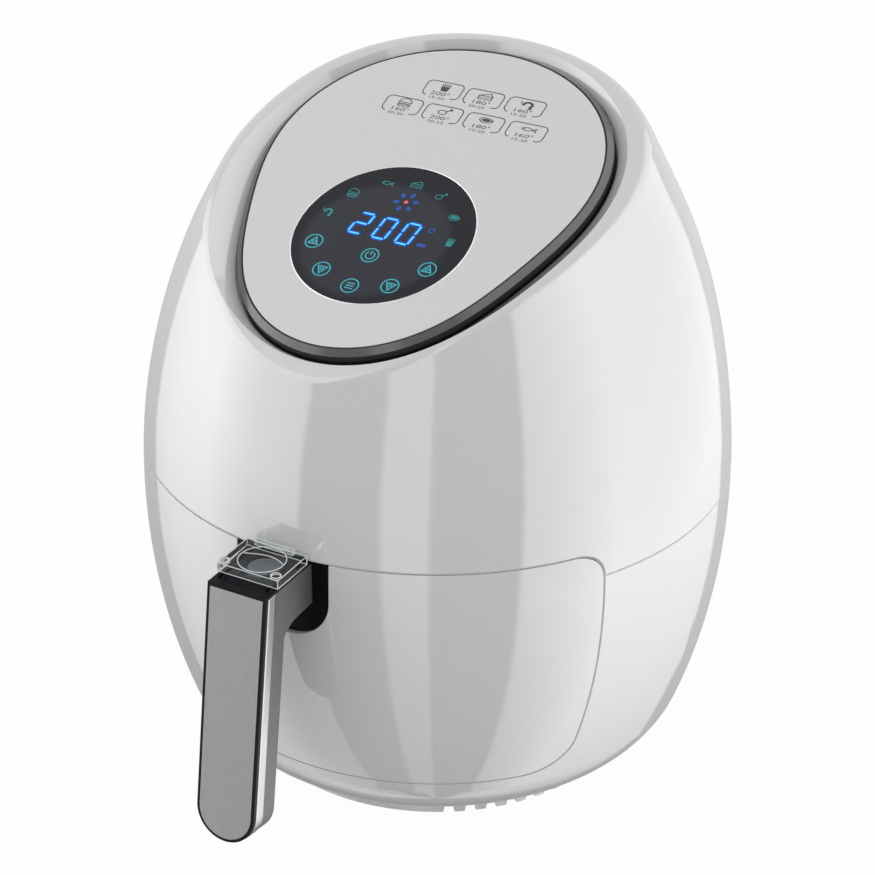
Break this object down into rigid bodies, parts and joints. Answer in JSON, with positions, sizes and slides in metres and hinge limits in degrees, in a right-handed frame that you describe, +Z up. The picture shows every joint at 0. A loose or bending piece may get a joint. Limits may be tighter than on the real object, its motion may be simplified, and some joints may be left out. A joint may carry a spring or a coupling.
{
  "type": "hot-air fryer",
  "caption": "Egg-shaped hot-air fryer with a tilted touch panel and a pull-out drawer holding pan and basket, with a leaning handle, release button and clear sliding guard.",
  "frame": {"origin": "on the floor under the axis of the round body, in the middle of the four feet", "axes": "+Z up along the body's axis, -Y out of the front where the drawer and its handle are, +X to the viewer's right when looking at the front"},
  "size_m": [0.274, 0.3248, 0.3209],
  "materials": {
    "white_shell": "high gloss",
    "base_grey": "satin",
    "foot_rubber": "matt",
    "bright_steel": "bright",
    "dark_plastic": "satin",
    "panel_black": "semi-gloss",
    "panel_silver": "satin metallic paint",
    "display_dark": "smoked, glossy",
    "board_green": "solder mask",
    "post_plastic": "moulded",
    "lamp_dark": "moulded",
    "inner_plastic": "moulded",
    "liner_steel": "mill finish",
    "element_steel": "heat tinted",
    "fan_aluminium": "pressed",
    "nonstick": "non-stick coating",
    "handle_dark": "satin",
    "handle_chrome": "polished",
    "handle_satin": "satin metallic",
    "button_grey": "satin",
    "guard_clear": "clear"
  },
  "bodies": {
    "housing": {"upper_housing": "white_shell", "lower_housing": "white_shell", "base_plate": "base_grey", "base_ring": "base_grey", "rubber_feet": "foot_rubber", "base_screws": "bright_steel", "motor_bridge": "bright_steel", "rear_vent": "dark_plastic", "cord_gland": "dark_plastic", "drawer_switch": "dark_plastic", "panel_frame": "panel_black", "panel_sheet": "panel_silver", "display_window": "display_dark", "display_board": "board_green", "power_board": "board_green", "board_posts": "post_plastic", "power_posts": "post_plastic", "deck_spacers": "post_plastic", "digit_block": "lamp_dark", "touch_pads": "lamp_dark", "power_components": "lamp_dark", "chamber_frame": "inner_plastic", "machine_deck": "inner_plastic", "chamber_liner": "liner_steel", "heat_reflector": "liner_steel", "exhaust_duct": "liner_steel", "element_guard": "liner_steel", "motor": "liner_steel", "heating_element": "element_steel", "thermal_cutout": "element_steel"},
    "fan_rotor": {"motor_shaft": "bright_steel", "hot_air_fan": "fan_aluminium", "cooling_fan": "fan_aluminium"},
    "drawer": {"pan": "nonstick", "basket": "nonstick", "basket_floor": "nonstick", "pan_bracket": "bright_steel", "drawer_front": "white_shell", "front_carrier": "inner_plastic", "carrier_screws": "bright_steel", "latch_catch": "bright_steel", "handle_strap": "bright_steel", "handle_screws": "bright_steel", "handle_root": "dark_plastic", "handle_body": "handle_dark", "handle_band": "handle_chrome", "handle_frame": "panel_black", "handle_plate": "handle_satin", "handle_top": "panel_black"},
    "release_button": {"release_button": "button_grey"},
    "latch_bolt": {"latch_bolt": "dark_plastic"},
    "button_guard": {"button_guard": "guard_clear"},
    "switch_plunger": {"switch_plunger": "post_plastic"}
  },
  "joints": [
    {"name": "drawer_slide", "type": "slide", "parent": "housing", "child": "drawer", "axis": [0, -1, 0], "range_m": [0, 0.225]},
    {"name": "guard_slide", "type": "slide", "parent": "drawer", "child": "button_guard", "axis": [0, -1, 0], "range_m": [0, 0.02]},
    {"name": "button_press", "type": "slide", "parent": "drawer", "child": "release_button", "axis": [0, 0, -1], "range_m": [0, 0.003], "stiffness_N_per_m": 800},
    {"name": "latch_slide", "type": "slide", "parent": "drawer", "child": "latch_bolt", "axis": [0, -1, 0], "range_m": [0, 0.003], "stiffness_N_per_m": 200},
    {"name": "fan_spin", "type": "hinge", "parent": "housing", "child": "fan_rotor", "pos_m": [0, 0, 0.21], "axis": [0, 0, 1], "continuous": true},
    {"name": "switch_press", "type": "slide", "parent": "housing", "child": "switch_plunger", "axis": [0, 1, 0], "range_m": [0, 0.002], "stiffness_N_per_m": 400}
  ],
  "couplings": [
    {"joint": "latch_slide", "follows": "button_press", "ratio": 1}
  ]
}
